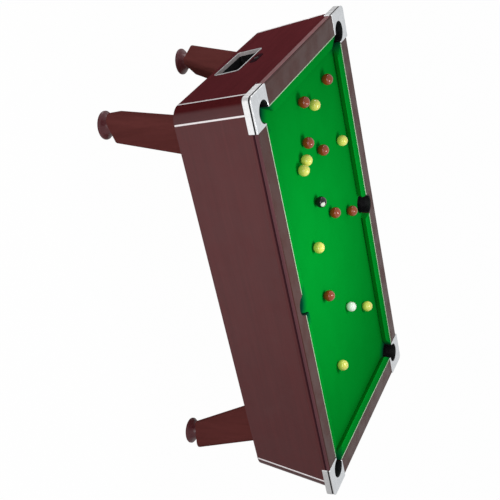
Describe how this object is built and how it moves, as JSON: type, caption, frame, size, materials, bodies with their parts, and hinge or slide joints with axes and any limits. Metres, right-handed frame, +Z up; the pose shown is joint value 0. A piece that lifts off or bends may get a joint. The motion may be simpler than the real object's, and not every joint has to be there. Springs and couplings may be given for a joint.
{
  "type": "coin-operated pool table",
  "caption": "Coin-operated pool table with a slate bed, tapered cabinet, splayed legs, corner castings, ball window, coin slide and a set of balls.",
  "frame": {"origin": "on the floor, under the middle of the table", "axes": "+X along the length away from the ball window, +Y across towards the coin side, +Z up"},
  "size_m": [1.956, 1.118, 0.8043],
  "materials": {
    "mahogany_laminate": "satin",
    "rail_laminate": "satin",
    "plywood": "matte",
    "slate": "matte",
    "green_cloth": "matte",
    "polished_casting": "polished",
    "bright_steel": "satin",
    "black_plastic": "satin",
    "brown_plastic": "satin",
    "red_resin": "gloss",
    "yellow_resin": "gloss",
    "black_resin": "gloss",
    "white_resin": "gloss"
  },
  "bodies": {
    "table": {"slate_bed": "slate", "bed_cloth": "green_cloth", "cushion_near_window": "green_cloth", "cushion_near_end": "green_cloth", "cushion_far_window": "green_cloth", "cushion_far_end": "green_cloth", "cushion_window_end": "green_cloth", "cushion_far_end_wall": "green_cloth", "rail_near": "rail_laminate", "rail_far": "rail_laminate", "rail_window_end": "rail_laminate", "rail_far_end": "rail_laminate", "casting_window_near": "polished_casting", "casting_window_far": "polished_casting", "casting_end_near": "polished_casting", "casting_end_far": "polished_casting", "liner_window_near": "black_plastic", "liner_window_far": "black_plastic", "liner_end_near": "black_plastic", "liner_end_far": "black_plastic", "liner_middle_near": "black_plastic", "liner_middle_far": "black_plastic", "side_panel_near": "mahogany_laminate", "side_panel_far": "mahogany_laminate", "end_panel_window": "mahogany_laminate", "end_panel_far": "mahogany_laminate", "post_window_near": "mahogany_laminate", "post_window_far": "mahogany_laminate", "post_end_near": "mahogany_laminate", "post_end_far": "mahogany_laminate", "base_board": "plywood", "leg_window_near": "mahogany_laminate", "leg_window_far": "mahogany_laminate", "leg_end_near": "mahogany_laminate", "leg_end_far": "mahogany_laminate", "ball_tray": "bright_steel", "ball_deck": "plywood", "coin_mech": "bright_steel"},
    "coin_slide": {"coin_slide": "bright_steel"},
    "cash_box": {"cash_box": "bright_steel"},
    "foot_window_near": {"foot_window_near": "brown_plastic"},
    "foot_window_far": {"foot_window_far": "brown_plastic"},
    "foot_end_near": {"foot_end_near": "brown_plastic"},
    "foot_end_far": {"foot_end_far": "brown_plastic"},
    "ball_red_1": {"ball_red_1": "red_resin"},
    "ball_red_2": {"ball_red_2": "red_resin"},
    "ball_red_3": {"ball_red_3": "red_resin"},
    "ball_red_4": {"ball_red_4": "red_resin"},
    "ball_red_5": {"ball_red_5": "red_resin"},
    "ball_red_6": {"ball_red_6": "red_resin"},
    "ball_red_7": {"ball_red_7": "red_resin"},
    "ball_yellow_1": {"ball_yellow_1": "yellow_resin"},
    "ball_yellow_2": {"ball_yellow_2": "yellow_resin"},
    "ball_yellow_3": {"ball_yellow_3": "yellow_resin"},
    "ball_yellow_4": {"ball_yellow_4": "yellow_resin"},
    "ball_yellow_5": {"ball_yellow_5": "yellow_resin"},
    "ball_yellow_6": {"ball_yellow_6": "yellow_resin"},
    "ball_yellow_7": {"ball_yellow_7": "yellow_resin"},
    "ball_black": {"ball_black": "black_resin"},
    "ball_cue": {"ball_cue": "white_resin"}
  },
  "joints": [
    {"name": "coin_push", "type": "slide", "parent": "table", "child": "coin_slide", "axis": [0, -1, 0], "range_m": [0, 0.06]},
    {"name": "cash_pull", "type": "slide", "parent": "table", "child": "cash_box", "axis": [0, 1, 0], "range_m": [0, 0.12]},
    {"name": "level_window_near", "type": "slide", "parent": "table", "child": "foot_window_near", "axis": [0, 0, -1], "range_m": [0, 0.02]},
    {"name": "level_window_far", "type": "slide", "parent": "table", "child": "foot_window_far", "axis": [0, 0, -1], "range_m": [0, 0.02]},
    {"name": "level_end_near", "type": "slide", "parent": "table", "child": "foot_end_near", "axis": [0, 0, -1], "range_m": [0, 0.02]},
    {"name": "level_end_far", "type": "slide", "parent": "table", "child": "foot_end_far", "axis": [0, 0, -1], "range_m": [0, 0.02]},
    {"name": "lift_red_1", "type": "slide", "parent": "table", "child": "ball_red_1", "axis": [0, 0, 1], "range_m": [0, 0.2]},
    {"name": "lift_red_2", "type": "slide", "parent": "table", "child": "ball_red_2", "axis": [0, 0, 1], "range_m": [0, 0.2]},
    {"name": "lift_red_3", "type": "slide", "parent": "table", "child": "ball_red_3", "axis": [0, 0, 1], "range_m": [0, 0.2]},
    {"name": "lift_red_4", "type": "slide", "parent": "table", "child": "ball_red_4", "axis": [0, 0, 1], "range_m": [0, 0.2]},
    {"name": "lift_red_5", "type": "slide", "parent": "table", "child": "ball_red_5", "axis": [0, 0, 1], "range_m": [0, 0.2]},
    {"name": "lift_red_6", "type": "slide", "parent": "table", "child": "ball_red_6", "axis": [0, 0, 1], "range_m": [0, 0.2]},
    {"name": "lift_red_7", "type": "slide", "parent": "table", "child": "ball_red_7", "axis": [0, 0, 1], "range_m": [0, 0.2]},
    {"name": "lift_yellow_1", "type": "slide", "parent": "table", "child": "ball_yellow_1", "axis": [0, 0, 1], "range_m": [0, 0.2]},
    {"name": "lift_yellow_2", "type": "slide", "parent": "table", "child": "ball_yellow_2", "axis": [0, 0, 1], "range_m": [0, 0.2]},
    {"name": "lift_yellow_3", "type": "slide", "parent": "table", "child": "ball_yellow_3", "axis": [0, 0, 1], "range_m": [0, 0.2]},
    {"name": "lift_yellow_4", "type": "slide", "parent": "table", "child": "ball_yellow_4", "axis": [0, 0, 1], "range_m": [0, 0.2]},
    {"name": "lift_yellow_5", "type": "slide", "parent": "table", "child": "ball_yellow_5", "axis": [0, 0, 1], "range_m": [0, 0.2]},
    {"name": "lift_yellow_6", "type": "slide", "parent": "table", "child": "ball_yellow_6", "axis": [0, 0, 1], "range_m": [0, 0.2]},
    {"name": "lift_yellow_7", "type": "slide", "parent": "table", "child": "ball_yellow_7", "axis": [0, 0, 1], "range_m": [0, 0.2]},
    {"name": "lift_black", "type": "slide", "parent": "table", "child": "ball_black", "axis": [0, 0, 1], "range_m": [0, 0.2]},
    {"name": "lift_cue", "type": "slide", "parent": "table", "child": "ball_cue", "axis": [0, 0, 1], "range_m": [0, 0.2]}
  ]
}
